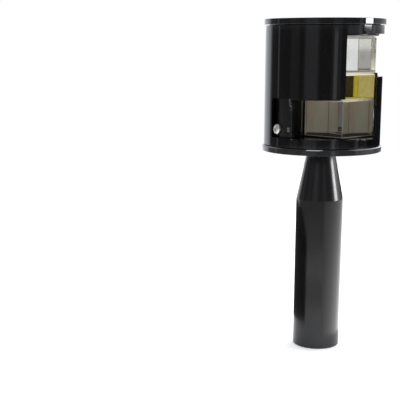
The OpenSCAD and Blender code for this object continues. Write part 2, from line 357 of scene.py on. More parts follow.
@dataclass(frozen=True)
class InsideBlack(Finish):
    """Semi-matt black paint inside the head, scuffed to bare metal where the sleeve's window edge passes."""

    name: str = "semi_matt_inside_black"
    colour: str = "#050506"
    metal: str = "#8A847B"
    roughness: Point = (0.26, 0.45)
    metallic: Point = (0, 0.8)
    sheen_level: float = 0.3
    grain: Grain = Grain(0.3, 3)
    grain_depth_mm: float = 0.002
    breaks: Grain = Grain(0.3, 4)
    scuffs: tuple[Spot, ...] = (
        ((-18.2, -1.35, 87.9), 1.2),
        ((-18.2, -1.6, 87.0), 1.4),
        ((-18.2, -1.95, 85.9), 1.1),
        ((-18.2, -2.05, 84.8), 0.9),
    )

    def surface(self, where: NodeSocket) -> dict[str, object]:
        """Draw the paint, with its one scuff.

        Args:
            where: The Object coordinates.

        Returns:
            The inputs of the Principled shader.
        """
        # Gives the eye a dark recess with hardly any sheen, and one grey scratch at the window's edge
        tree, chip = where.id_data, worn(where, self.scuffs, self.breaks)
        mix = add(tree, "ShaderNodeMix", {0: chip, 6: self.colour, 7: self.metal}, data_type="RGBA")
        return {
            "Base Color": mix.outputs[2],
            "Metallic": add(tree, "ShaderNodeMapRange", (chip, *WHOLE, *self.metallic)),
            "Roughness": add(tree, "ShaderNodeMapRange", (chip, *WHOLE, *self.roughness)),
            "Normal": self.grain.relief(where, self.grain_depth_mm),
            "Specular IOR Level": self.sheen_level,
        }


@dataclass(frozen=True)
class PolishedGlass(Finish):
    """Barium crown glass with polished faces: clear, with the sharp reflections of optical work."""

    name: str = "polished_barium_crown_glass"
    tint: str = "#F7F8F5"
    ior: float = 1.57
    film: Grain = Grain(5.0, 3)
    film_edge: Point = (0.45, 0.8)
    roughness: Point = (0.0, 0.03)

    def surface(self, where: NodeSocket) -> dict[str, object]:
        """Return the glass's inputs, with a trace of film that softens its reflections here and there."""
        # Gives the eye the mirrors and the ground faces behind it, folded by refraction
        return {
            "Base Color": self.tint,
            "Roughness": self.film.share(where, self.film_edge, self.roughness),
            "Transmission Weight": 1.0,
            "IOR": self.ior,
        }


@dataclass(frozen=True)
class FilterGlass(PolishedGlass):
    """Yellow filter glass, solid-coloured: clear amber where polished."""

    # Gives the eye a clear deep yellow that darkens with the path through it
    name: str = "yellow_filter_glass"
    tint: str = "#E4D68C"
    ior: float = 1.52
    film: Grain = Grain(4.0, 3)
    roughness: Point = (0.0, 0.04)


@dataclass(frozen=True)
class GroundGlass(Finish):
    """A fine-ground face of optical glass: pale, even and matt, dusted or stained by its cement; its glow,
    where it has one, is painted light.
    """

    name: str = "fine_ground_glass"
    colours: Colours = ("#B9B3A6", "#8C857A")
    mottle: Grain = Grain(1.4, 3)
    # Emission strength: painted light that stands in for the light the face scatters from inside the glass
    glow: float = 0.0
    # Heights over which the painted glow fades to the dimmed level: painted shade on the face's upper part
    dim_above: Point | None = None
    dimmed: float = 0.06
    grit: Grain = Grain(0.12)
    grit_depth_mm: float = 0.003
    roughness: float = 0.6

    def surface(self, where: NodeSocket) -> dict[str, object]:
        """Draw the face, with a painted glow that stands in for the light in the glass, fading above a
        height.

        Args:
            where: The Object coordinates.

        Returns:
            The inputs of the Principled shader.
        """
        # Gives the eye a pale matt face with faint stains, and a painted glow that stands in for the light
        # scattered inside the glass
        colour, tree = self.mottle.tone(where, MOTTLE, self.colours), where.id_data
        relief = self.grit.relief(where, self.grit_depth_mm)
        inputs = {"Base Color": colour, "Roughness": self.roughness, "Normal": relief}
        # Painted light: the face glows in its own colour
        if self.glow:
            inputs |= {"Emission Color": colour, "Emission Strength": self.glow}
        if self.dim_above:
            height = add(tree, "ShaderNodeSeparateXYZ", {"Vector": where}).outputs["Z"]
            heights = (z * MM for z in self.dim_above)
            carried = (height, *heights, self.glow, self.dimmed)
            inputs["Emission Strength"] = add(tree, "ShaderNodeMapRange", carried)
        return inputs


@dataclass(frozen=True)
class Silvering(Finish):
    """Chemical silvering on a prism's reflecting face, seen through the glass: a bright mirror."""

    name: str = "silvered_face"
    colours: Colours = ("#F7F6F3", "#E9E7E1")
    tarnish: Grain = Grain(6.0, 4)
    tarnish_edge: Point = (0.55, 0.8)
    roughness: float = 0.02

    def surface(self, where: NodeSocket) -> dict[str, object]:
        """Return the mirror's inputs, with slight tarnish clouds."""
        # Gives the eye a clean bright mirror inside the glass
        colour = self.tarnish.tone(where, self.tarnish_edge, self.colours)
        return {"Base Color": colour, "Metallic": 1.0, "Roughness": self.roughness}


@dataclass(frozen=True)
class Lacquer(Finish):
    """Shellac-brown protective lacquer brushed over the silvering's back."""

    name: str = "brown_backing_lacquer"
    colours: Colours = ("#1C1610", "#120D09")
    strokes: Grain = Grain(1.2, 4, 5.0)
    stroke_depth_mm: float = 0.02
    roughness: float = 0.3

    def surface(self, where: NodeSocket) -> dict[str, object]:
        """Return the lacquer's inputs, streaked along the brush's strokes."""
        # Gives the eye a dark streaky brown, half glossy, where the back of a mirror shows
        return {
            "Base Color": self.strokes.tone(where, MOTTLE, self.colours),
            "Normal": self.strokes.relief(where, self.stroke_depth_mm),
            "Roughness": self.roughness,
        }


@dataclass(frozen=True)
class PlatedMetal(Finish):
    """Bare or plated metal of the small fittings, with fine scratches in its polish."""

    name: str
    colours: Colours
    roughness: Point
    scratches: Grain = Grain(0.25, 5)
    scratch_edge: Point = (0.4, 0.68)
    scratch_depth_mm: float = 0.004

    def surface(self, where: NodeSocket) -> dict[str, object]:
        """Return the metal's inputs, scratched at random."""
        # Gives the eye small bright glints and a slightly uneven polish
        return {
            "Base Color": self.scratches.tone(where, self.scratch_edge, self.colours),
            "Roughness": self.scratches.share(where, CLOUDS, self.roughness),
            "Normal": self.scratches.relief(where, self.scratch_depth_mm),
            "Metallic": 1.0,
        }


@dataclass(frozen=True)
class CorkPad(Finish):
    """Blackened cork composition sheet under and over the glass: granules, matt."""

    name: str = "cork_composition"
    colours: Colours = ("#1E1A17", "#0E0C0B")
    granules: Grain = Grain(0.7, 0, pattern=Pattern.GRANULAR)
    granule_edge: Point = (0.1, 0.6)
    granule_depth_mm: float = 0.03
    roughness: float = 0.85

    def surface(self, where: NodeSocket) -> dict[str, object]:
        """Return the cork's inputs, with its granules."""
        # Gives the eye a dark, matt, speckled seam under and over the glass
        return {
            "Base Color": self.granules.tone(where, self.granule_edge, self.colours),
            "Normal": self.granules.relief(where, self.granule_depth_mm),
            "Roughness": self.roughness,
        }


@dataclass(frozen=True)
class StudioPaper(Finish):
    """White background paper that the object stands on: bright, flat, with a trace of fibre."""

    name: str = "white_background_paper"
    colours: Colours = ("#FBFBFB", "#E8E8E8")
    fibre: Grain = Grain(0.8, 3)
    fibre_edge: Point = (0.3, 0.7)
    fibre_share: Point = (0, 0.02)
    lift: float = 0.42

    def surface(self, where: NodeSocket) -> dict[str, object]:
        """Return the paper's inputs, lifted a little towards white."""
        # Gives the eye a pale matt floor that stays near white under soft light
        return {
            "Base Color": self.fibre.tone(where, self.fibre_edge, self.colours, self.fibre_share),
            "Emission Color": "#FFFFFF",
            "Emission Strength": self.lift,
            "Roughness": 1.0,
            "Specular IOR Level": 0.0,
        }


@dataclass(frozen=True)
class CardBoard(Finish):
    """The board of a card that only reflections see, as bright as its mesh's level attribute says."""

    name: str

    def surface(self, where: NodeSocket) -> dict[str, object]:
        """Return the board's inputs."""
        # Gives the eye a soft graded reflection and nothing else
        level = add(where.id_data, "ShaderNodeAttribute", attribute_name="level").outputs["Fac"]
        return {
            "Base Color": "#050505",
            "Specular IOR Level": 0.0,
            "Emission Color": "#FFFFFF",
            "Emission Strength": level,
        }


def made(finish: Finish) -> Material:
    """Return a field whose default is the material of a finish."""
    return field(default_factory=finish.make)


@dataclass(frozen=True)
class FinishSet:
    """Every finish of the object, made once."""

    gloss: Material = made(StovedEnamel())
    # Lighter, rougher enamel on the eased edges of the sleeve's windows: its lighter colour is a painted
    # highlight that stands in for the floor's reflection along the edges, and its chips at the sill are wear
    edge_wear_and_highlight: Material = made(
        StovedEnamel("edge_wear_and_painted_highlight_enamel", "#161617", roughness=(0.18, 0.3), chips=sill_wear())
    )
    worn_gloss: Material = made(StovedEnamel("worn_black_stoving_enamel", chips=sill_wear()))
    dim_ground: Material = made(GroundGlass("fine_ground_arris", ("#8F897C", "#7B7569")))
    satin: Material = made(SatinEnamel())
    inside: Material = made(InsideBlack())
    glass: Material = made(PolishedGlass())
    # Ground glass copies with different glows: painted light, brighter on the faces that are meant to look
    # more lit
    ground: Material = made(GroundGlass(glow=0.1))
    bright_ground: Material = made(GroundGlass("bright_ground_glass", ("#BDBBB4", "#A5A29A"), glow=0.34))
    # The upper prism's fifth face: a strong painted glow, fading above a height as painted shade
    lit_ground: Material = made(
        GroundGlass("lit_ground_glass", ("#CCCAC6", "#B4B1AA"), glow=1.2, dim_above=(95.0, 102.0))
    )
    blacked: Material = made(GroundGlass("blackened_ground_glass", ("#1B1916", "#100F0D")))
    # The fifth face's glow is painted light; its mottle is the cement's stain
    fifth: Material = made(
        GroundGlass("cement_stained_ground_glass", ("#C4C2AE", "#BFAE98"), Grain(6.0, 3, 2.0), 0.16)
    )
    silver: Material = made(Silvering())
    lacquer: Material = made(Lacquer())
    amber: Material = made(FilterGlass())
    # The amber block's ground faces and arrises glow: painted light that stands in for the light scattered
    # inside the block
    amber_ground: Material = made(
        GroundGlass("ground_yellow_filter_glass", ("#D0CDB2", "#C6C09C"), Grain(2.0, 3), 0.32)
    )
    amber_edge: Material = made(
        GroundGlass("arrissed_yellow_filter_glass", ("#CFC858", "#C3BA48"), Grain(2.0, 3), 0.32)
    )
    nickel: Material = made(PlatedMetal("bright_nickel_plate", ("#EDECE6", "#C9C7BF"), (0.28, 0.42)))
    blued: Material = made(PlatedMetal("blued_steel", ("#7C7D82", "#8E8C88"), (0.3, 0.5)))
    steel: Material = made(PlatedMetal("turned_steel", ("#5E5F61", "#3B3C3E"), (0.22, 0.4)))
    brass: Material = made(PlatedMetal("turned_brass", ("#C8A75E", "#8F7440"), (0.2, 0.4)))
    cork: Material = made(CorkPad())


# Meshes


def link(name: str, mesh: Mesh) -> Object:
    """Put a mesh into the scene.

    Args:
        name: The object's name.
        mesh: Its mesh.

    Returns:
        The object, at the origin.
    """
    piece = bpy.data.objects.new(name, mesh)
    bpy.context.scene.collection.objects.link(piece)
    return piece


def arc(centre: Point, radius: float, start: float, end: float) -> list[Point]:
    """Return the points of an arc from a start angle to an end angle, in degrees."""
    angles = (math.radians(start + (end - start) * i / ARC_STEPS) for i in range(ARC_STEPS + 1))
    return [(centre[0] + radius * math.cos(a), centre[1] + radius * math.sin(a)) for a in angles]


def eased(corner: Point, before: Point, after: Point, radius: float) -> list[Point]:
    """Round one corner of an outline.

    Args:
        corner: The corner.
        before: The point before it.
        after: The point after it.
        radius: The fillet's radius.

    Returns:
        The points that take the corner's place, on a curve that meets both sides without a kink.
    """
    here = Vector(corner)
    to_before, to_after = ((Vector(point) - here).normalized() for point in (before, after))
    reach = radius / math.tan(to_before.angle(to_after) / 2)
    start, end = here + to_before * reach, here + to_after * reach
    shares = (i / ARC_STEPS for i in range(ARC_STEPS + 1))
    return [tuple(start * (1 - t) ** 2 + here * 2 * t * (1 - t) + end * t**2) for t in shares]


def rounded_outline(corners: Sequence[Corner], closed: bool) -> list[Point]:
    """Round the corners of an outline.

    Args:
        corners: Each corner's two coordinates and its radius, 0 to keep it sharp.
        closed: True if the last corner joins the first.

    Returns:
        The outline's points.
    """
    count = len(corners)
    points: list[Point] = []
    for i, (x, y, radius) in enumerate(corners):
        if radius == 0 or (not closed and i in (0, count - 1)):
            points.append((x, y))
        else:
            points += eased((x, y), corners[i - 1][:2], corners[(i + 1) % count][:2], radius)
    return points


def shape_tree(name: str, inputs: dict[str, str]) -> tuple[NodeTree, bpy.types.bpy_prop_collection]:
    """Start a Geometry Nodes tree whose last input is its finish.

    Args:
        name: Its name.
        inputs: The kind of each of its other inputs, by name.

    Returns:
        The tree and the sockets that give its inputs.
    """
    tree = bpy.data.node_groups.new(name, "GeometryNodeTree")
    for key, kind in {**inputs, "Finish": "Material"}.items():
        tree.interface.new_socket(key, in_out="INPUT", socket_type="NodeSocket" + kind)
    tree.interface.new_socket("Shape", in_out="OUTPUT", socket_type="NodeSocketGeometry")
    return tree, add(tree, "NodeGroupInput").outputs


def close_tree(shape: Node, finish: NodeSocket) -> NodeTree:
    """End a Geometry Nodes tree: realise its shape, give it its finish and hand it out.

    Args:
        shape: The node that gives the shape.
        finish: The socket that gives the finish.

    Returns:
        The tree.
    """
    tree = shape.id_data
    real = add(tree, "GeometryNodeRealizeInstances", {"Geometry": shape})
    dressed = add(tree, "GeometryNodeSetMaterial", {"Geometry": real, "Material": finish})
    add(tree, "NodeGroupOutput", {0: dressed})
    return tree


def turning_tree() -> NodeTree:
    """Build the Geometry Nodes tree that turns a profile about Z.

    Returns:
        A tree whose geometry is the profile's points in order, with x the radius and z the height.
    """
    tree, given = shape_tree("turned_piece", {"Profile": "Geometry", "Segments": "Int"})
    profile, segments = given["Profile"], given["Segments"]
    rows = add(tree, "GeometryNodeAttributeDomainSize", {"Geometry": profile}, component="MESH")
    columns = add(tree, "ShaderNodeMath", (segments, 1.0), operation="ADD")
    grid = add(tree, "GeometryNodeMeshGrid", {"Vertices X": columns, "Vertices Y": rows})
    index = add(tree, "GeometryNodeInputIndex")
    column = add(tree, "ShaderNodeMath", (index, rows), operation="DIVIDE")
    column = add(tree, "ShaderNodeMath", (column,), operation="FLOOR")
    row = add(tree, "ShaderNodeMath", (index, rows), operation="MODULO")
    point = {"Geometry": profile, "Value": add(tree, "GeometryNodeInputPosition"), "Index": row}
    sampled = add(tree, "GeometryNodeSampleIndex", point, data_type="FLOAT_VECTOR", domain="POINT")
    radius, _, height = add(tree, "ShaderNodeSeparateXYZ", (sampled,)).outputs
    turn = add(tree, "ShaderNodeMath", (column, segments), operation="DIVIDE")
    turn = add(tree, "ShaderNodeMath", (turn, math.tau), operation="MULTIPLY")
    level: list[Node] = []
    for part in ("SINE", "COSINE"):
        share = add(tree, "ShaderNodeMath", (turn,), operation=part)
        level.append(add(tree, "ShaderNodeMath", (radius, share), operation="MULTIPLY"))
    position = add(tree, "ShaderNodeCombineXYZ", (*level, height))
    moved = add(tree, "GeometryNodeSetPosition", {"Geometry": grid, "Position": position})
    merged = add(tree, "GeometryNodeMergeByDistance", {"Geometry": moved, "Distance": WELD})
    return close_tree(merged, given["Finish"])


def screw_ring_tree(sizes: Sequence[str]) -> NodeTree:
    """Build the Geometry Nodes tree for a ring of slotted countersunk screws.

    Args:
        sizes: The names of the ring's and one screw's sizes, which are its inputs, in metres.

    Returns:
        The tree. The heads face +Z at z = 0.
    """
    tree, given = shape_tree("screw_ring", {"Count": "Int", **dict.fromkeys(sizes, "Float")})
    head, shank = given["Head Radius"], given["Shank Radius"]
    solid = add(tree, "GeometryNodeMeshBoolean", operation="UNION", solver="EXACT")
    for kind, form, depth, drop in (
        ("Cone", {"Vertices": 64, "Radius Top": head, "Radius Bottom": shank}, given["Head Height"], -1.0),
        ("Cylinder", {"Vertices": 32, "Radius": shank}, given["Length"], -0.5),
    ):
        part = add(tree, "GeometryNodeMesh" + kind, {**form, "Depth": depth})
        down = add(tree, "ShaderNodeMath", (depth, drop), operation="MULTIPLY")
        offset = add(tree, "ShaderNodeCombineXYZ", {2: down})
        lowered = add(tree, "GeometryNodeTransform", {"Geometry": part, "Translation": offset})
        fill(solid, {"Mesh 2": lowered})
    wide = add(tree, "ShaderNodeMath", (head, 3.0), operation="MULTIPLY")
    deep = add(tree, "ShaderNodeMath", (given["Slot Depth"], 2.0), operation="MULTIPLY")
    size = add(tree, "ShaderNodeCombineXYZ", (wide, given["Slot Width"], deep))
    sides = {"Mesh 1": solid, "Mesh 2": add(tree, "GeometryNodeMeshCube", {"Size": size})}
    screw = add(tree, "GeometryNodeMeshBoolean", sides, operation="DIFFERENCE", solver="EXACT")
    circle = {"Vertices": given["Count"], "Radius": given["Circle Radius"]}
    points = add(tree, "GeometryNodeMeshCircle", circle)
    index = add(tree, "GeometryNodeInputIndex")
    turn = add(tree, "ShaderNodeMath", (index, math.tau), operation="MULTIPLY")
    turn = add(tree, "ShaderNodeMath", (turn, given["Count"]), operation="DIVIDE")
    spin = add(tree, "ShaderNodeCombineXYZ", {2: turn})
    ring = {"Points": points, "Instance": screw, "Rotation": spin}
    return close_tree(add(tree, "GeometryNodeInstanceOnPoints", ring), given["Finish"])


def baked(piece: Object, name: str) -> Object:
    """Turn an object with modifiers into a plain mesh object.

    Args:
        piece: The object, which is removed.
        name: The new object's name.

    Returns:
        The plain mesh object.
    """
    bpy.context.view_layer.update()
    graph = bpy.context.evaluated_depsgraph_get()
    mesh = bpy.data.meshes.new_from_object(piece.evaluated_get(graph), depsgraph=graph)
    bpy.data.objects.remove(piece, do_unlink=True)
    mesh.name = name
    return link(name, mesh)


def through_tree(source: Mesh, tree: NodeTree, name: str, values: dict[str, object]) -> Object:
    """Run a Geometry Nodes tree on a mesh.

    Args:
        source: The mesh that the tree starts from.
        tree: The tree.
        name: The result's name.
        values: The tree's named inputs.

    Returns:
        The result as a plain mesh object.
    """
    carrier = link(name + "_source", source)
    modifier = carrier.modifiers.new("shape", "NODES")
    modifier.node_group = tree
    sockets = {s.name: s.identifier for s in tree.interface.items_tree if s.in_out == "INPUT"}
    for key, value in values.items():
        modifier[sockets[key]] = value
    piece = baked(carrier, name)
    piece.data.materials.clear()
    piece.data.materials.append(values["Finish"])
    for polygon in piece.data.polygons:
        polygon.material_index = 0
    return piece


@contextmanager
def opened(mesh: Mesh) -> Iterator[BMesh]:
    """Open a mesh for changes.

    Args:
        mesh: The mesh, which is written when the block ends.

    Yields:
        Its editable form.
    """
    cage = bmesh.new()
    cage.from_mesh(mesh)
    yield cage
    cage.to_mesh(mesh)
    cage.free()


def face_outwards(mesh: Mesh) -> None:
    """Merge a mesh's doubles and turn its faces outwards.

    Args:
        mesh: The mesh.
    """
    with opened(mesh) as cage:
        bmesh.ops.remove_doubles(cage, verts=cage.verts, dist=WELD)
        bmesh.ops.dissolve_degenerate(cage, edges=cage.edges, dist=WELD / 10)
        bmesh.ops.recalc_face_normals(cage, faces=cage.faces)


def shade(piece: Object, round_radii: Sequence[float] = ()) -> None:
    """Shade a mesh smoothly with crisp edges, and true normals on its round walls and level faces.

    Args:
        piece: The object.
        round_radii: The radii of its walls about Z, in millimetres. Faces on them get exact radial normals.
    """
    mesh = piece.data
    mesh.shade_smooth()
    mesh.set_sharp_from_angle(angle=SHARP_ANGLE)
    if not round_radii:
        return
    normals = [(0.0, 0.0, 0.0)] * len(mesh.loops)
    for polygon in mesh.polygons:
        corners = [mesh.vertices[v].co for v in polygon.vertices]
        reach = [math.hypot(*co[:2]) for co in corners]
        if abs(polygon.normal.z) > LEVEL:
            exact = [polygon.normal] * len(corners)
        elif any(all(abs(r - wall * MM) < ROUND_TOLERANCE for r in reach) for wall in round_radii):
            sign = 1 if polygon.normal.xy.dot(polygon.center.xy) > 0 else -1
            exact = [Vector((co.x, co.y, 0)).normalized() * sign for co in corners]
        else:
            continue
        for loop, normal in zip(polygon.loop_indices, exact):
            normals[loop] = tuple(normal)
    mesh.normals_split_custom_set(normals)


@dataclass
class Lathe:
    """Turns profiles into pieces, with the shared Geometry Nodes tree."""

    tree: NodeTree = field(default_factory=turning_tree)

    def turn(self, name: str, corners: Sequence[Corner], finish: Material, tube: bool = False) -> Object:
        """Turn a profile about Z.

        Args:
            name: The piece's name.
            corners: Radius, height and fillet of each corner, in millimetres.
            finish: Its material.
            tube: True for a closed ring profile, False for one that starts and ends on the axis.

        Returns:
            The piece.
        """
        points = rounded_outline(corners, tube)
        if tube:
            points.append(points[0])
        mesh = bpy.data.meshes.new(name + "_profile")
        mesh.from_pydata([(r * MM, 0, z * MM) for r, z in points], [], [])
        piece = through_tree(mesh, self.tree, name, {"Segments": SEGMENTS, "Finish": finish})
        face_outwards(piece.data)
        return piece


def prism_mesh(name: str, outline: Sequence[Point], low: float, high: float) -> Mesh:
    """Extrude an outline along Z.

    Args:
        name: The mesh's name.
        outline: Its corners, in millimetres.
        low: The bottom's height.
        high: The top's height.

    Returns:
        A closed mesh, with its sides first, then its bottom and top.
    """
    count = len(outline)
    area = sum(outline[i - 1][0] * outline[i][1] - outline[i][0] * outline[i - 1][1] for i in range(count))
    mesh = bpy.data.meshes.new(name)
    verts = [(x * MM, y * MM, z * MM) for z in (low, high) for x, y in outline]
    faces = [(i, (i + 1) % count, (i + 1) % count + count, i + count) for i in range(count)]
    faces += [tuple(reversed(range(count))), tuple(range(count, 2 * count))]
    if area < 0:
        faces = [tuple(reversed(face)) for face in faces]
    mesh.from_pydata(verts, [], faces)
    return mesh


@dataclass(frozen=True)
class Window:
    """A milled window: a rounded rectangle cut along one axis."""

    along: Axis
    across: Point
    height: Point
    depth: Point
    corner: float = 1.0

    def cutter(self) -> Object:
        """Return the solid that cuts the window."""
        (a0, a1), (z0, z1), r = self.across, self.height, self.corner
        centres = ((a1 - r, z0 + r), (a1 - r, z1 - r), (a0 + r, z1 - r), (a0 + r, z0 + r))
        quarters = (arc(centre, r, 90 * i - 90, 90 * i) for i, centre in enumerate(centres))
        mesh = prism_mesh("window_cutter", [point for quarter in quarters for point in quarter], *self.depth)
        if self.along is Axis.Y:
            swap = Matrix(((1, 0, 0, 0), (0, 0, 1, 0), (0, 1, 0, 0), (0, 0, 0, 1)))
        else:
            swap = Matrix(((0, 0, 1, 0), (1, 0, 0, 0), (0, 1, 0, 0), (0, 0, 0, 1)))
        mesh.transform(swap)
        if swap.determinant() < 0:
            mesh.flip_normals()
        return link("window_cutter", mesh)


def cut(piece: Object, cutters: Sequence[Object], edge_mm: float, edge_slot: int = -1) -> Object:
    """Cut solids out of a piece and ease the edges.

    Args:
        piece: The piece, which is replaced.
        cutters: The solids to cut away, which are removed.
        edge_mm: The width of the eased edges.
        edge_slot: The eased edges' material slot, or -1 for that of the faces beside them.

    Returns:
        The cut piece, under the same name.
    """
    name = piece.name
    piece.name = name + "_blank"
    for cutter in cutters:
        modifier = piece.modifiers.new("cut", "BOOLEAN")
        modifier.operation = "DIFFERENCE"
        modifier.solver = "EXACT"
        modifier.object = cutter
    edges = piece.modifiers.new("edges", "BEVEL")
    edges.width = edge_mm * MM
    edges.segments = 2
    edges.limit_method = "ANGLE"
    edges.angle_limit = EASED_ANGLE
    edges.material = edge_slot
    result = baked(piece, name)
    for cutter in cutters:
        bpy.data.objects.remove(cutter, do_unlink=True)
    return result


def bevel(piece: Object, width_mm: float, slot: int, chosen: Callable[[BMEdge], bool]) -> None:
    """Grind a flat bevel on some edges of a piece of glass.

    Args:
        piece: The piece.
        width_mm: The bevel's width along each face.
        slot: The bevel's material slot.
        chosen: Tells which edges get it.
    """
    with opened(piece.data) as cage:
        edges = [edge for edge in cage.edges if chosen(edge)]
        sizes = {"offset": width_mm * MM, "offset_type": "OFFSET", "segments": 1}
        bmesh.ops.bevel(cage, geom=edges, affect="EDGES", material=slot, **sizes)


def place(piece: Object, body: Body, slot: str, *nodes: str) -> None:
    """Ride a piece on its body and hide the CAD nodes that it stands for.

    Args:
        piece: The piece.
        body: The body.
        slot: Not used.
        nodes: The CAD nodes.
    """
    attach(piece, body.value)
    if nodes:
        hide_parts(*nodes)
    log.info("%s rides on %s, %d faces", piece.name, body.value, len(piece.data.polygons))


def dress(finish: Material, *nodes: str) -> None:
    """Give CAD nodes that keep their own meshes a finish.

    Args:
        finish: The finish.
        nodes: The nodes.
    """
    for node in nodes:
        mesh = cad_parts[node].data
        mesh.materials.clear()
        mesh.materials.append(finish)
        log.info("%s keeps its CAD mesh", node)


def node_heights(node: str) -> Point:
    """Return a CAD node's lowest and highest point in millimetres."""
    low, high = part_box(node)
    return low.z / MM, high.z / MM


def node_radius(node: str) -> float:
    """Return a round CAD node's radius in millimetres."""
    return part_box(node)[1].y / MM


# Sub-assemblies


@dataclass
class Handle:
    """The turned grip with its taper."""

    finish: FinishSet
    lathe: Lathe
    grip_radius: float = 8.15
    grip_length: float = 53.0
    taper_top_radius: float = 4.7
    foot_chamfer: float = 0.4
    shoulder_ease: float = 0.25
    ease: float = 0.1
    hold: float = 0.6

    def taper_point(self, height: float, top: float) -> Corner:
        """Return a plain profile point on the taper, which keeps its shading straight."""
        share = (height - self.grip_length) / (top - self.grip_length)
        return self.grip_radius + (self.taper_top_radius - self.grip_radius) * share, height, 0

    def build(self) -> None:
        """Turn the grip and dress its stud."""
        top = node_heights("handle")[1]
        corners = [
            (0, 0, 0),
            (self.grip_radius - self.foot_chamfer, 0, self.ease),
            (self.grip_radius, self.foot_chamfer, self.ease),
            (self.grip_radius, self.grip_length, self.shoulder_ease),
            self.taper_point(self.grip_length + self.hold, top),
            self.taper_point(top - self.hold, top),
            (self.taper_top_radius, top, self.ease),
            (0, top, 0),
        ]
        grip = self.lathe.turn("turned_grip", corners, self.finish.satin)
        shade(grip, (self.grip_radius,))
        place(grip, Body.HEAD, "handle_enamel", "handle")
        dress(self.finish.brass, "handle_stud")


@dataclass
class ScrewRing:
    """A ring of slotted countersunk screws and their seats."""

    circle_radius: float = 12.0
    head_radius: float = 2.35
    head_height: float = 1.2
    shank_radius: float = 1.25
    length: float = 4.5
    slot_width: float = 0.5
    slot_depth: float = 0.48
    count: int = 3
    seat_gap: float = 0.05

    def sizes(self) -> dict[str, float]:
        """Return the ring's and one screw's sizes in metres, by the names of the tree's inputs."""
        names = "circle_radius head_radius head_height shank_radius length slot_width slot_depth".split()
        return {name.replace("_", " ").title(): getattr(self, name) * MM for name in names}

    def screws(self, tree: NodeTree, name: str, placing: Matrix, finish: Material) -> Object:
        """Make the screws.

        Args:
            tree: The screws' Geometry Nodes tree.
            name: The piece's name.
            placing: The matrix to their place, as from placing().
            finish: Their material.

        Returns:
            The screws as one piece.
        """
        values = {"Count": self.count, **self.sizes(), "Finish": finish}
        piece = through_tree(bpy.data.meshes.new("ring"), tree, name, values)
        piece.data.transform(placing)
        face_outwards(piece.data)
        shade(piece)
        return piece

    def placing(self, height: float, upwards: bool) -> Matrix:
        """Work out the ring's place.

        Args:
            height: The height of the face that the heads are flush with.
            upwards: True if the heads face up.

        Returns:
            The matrix from the ring's own frame to that face.
        """
        turn = Matrix.Rotation(-math.pi / 2, 4, "Z")
        if not upwards:
            turn = Matrix.Rotation(math.pi, 4, "Y") @ Matrix.Rotation(math.pi / 2, 4, "Z")
        return Matrix.Translation((0, 0, height * MM)) @ turn

    def seats(self, lathe: Lathe, placing: Matrix, finish: Material) -> list[Object]:
        """Make the solids that cut the screws' countersunk seats.

        Args:
            lathe: The lathe that turns them.
            placing: As in screws().
            finish: The material of the piece that they cut.

        Returns:
            One solid for each screw.
        """
        gap = self.seat_gap
        foot, shank, head = -self.length - gap, self.shank_radius + gap, self.head_radius + gap
        corners = [(0, foot), (shank, foot), (shank, -self.head_height), (head, 0), (head, CLEAR), (0, CLEAR)]
        cutters = []
        for i in range(self.count):
            cutter = lathe.turn("seat_cutter", [(*corner, 0) for corner in corners], finish)
            angle = math.tau * i / self.count
            offset = Vector((math.cos(angle), math.sin(angle), 0)) * self.circle_radius * MM
            cutter.data.transform(placing @ Matrix.Translation(offset))
            cutters.append(cutter)
        return cutters


@dataclass
class Housing:
    """The base flange, the top cap, their screws and the plugs that they hold."""

    finish: FinishSet
    lathe: Lathe
    rim_round: float = 0.2
    base_chamfer: float = 0.3
    chamfer_ease: float = 0.04
    edge: float = 0.08

    def build(self) -> None:
        """Build both discs with their screws, and dress the plugs."""
        ring = ScrewRing()
        tree = screw_ring_tree(list(ring.sizes()))
        for name, node, screws, upwards in (
            ("base_disc", "base_flange", "base_screws", False),
            ("cap_disc", "top_cap", "cap_screws", True),
        ):
            low, high = node_heights(node)
            radius, chamfer, ease = node_radius(node), self.base_chamfer, self.chamfer_ease
            upper_rim = [(radius, high, self.rim_round)]
            if not upwards:
                upper_rim = [(radius, high - chamfer, ease), (radius - chamfer, high, ease)]
            corners = [(0, low, 0), (radius, low, self.rim_round), *upper_rim, (0, high, 0)]
            disc = self.lathe.turn(name, corners, self.finish.gloss)
            placing = ring.placing(high if upwards else low, upwards)
            disc = cut(disc, ring.seats(self.lathe, placing, self.finish.gloss), self.edge)
            shade(disc, (radius,))
            place(disc, Body.HEAD, "gloss_enamel", node)
            heads = ring.screws(tree, screws + "_slotted", placing, self.finish.steel)
            place(heads, Body.HEAD, "flat_screw_steel", screws)
        dress(self.finish.inside, "base_plug", "top_plug")


@dataclass(frozen=True)
class Bevel:
    """A ground bevel: its width along each face, its finish, and its finish at the front if another."""

    width: float
    rest: Material
    own_front: Material | None = None

    @property
    def front(self) -> Material:
        """The finish at the front of the glass."""
        return self.own_front or self.rest


@dataclass(frozen=True)
class Blank:
    """One glass blank before its edges are ground."""

    name: str
    node: str
    slot: str
    outline: list[Point]
    sides: list[Material]
    bottom: Material
    top: Material
    upright: Bevel
    low: Bevel
    high: Bevel


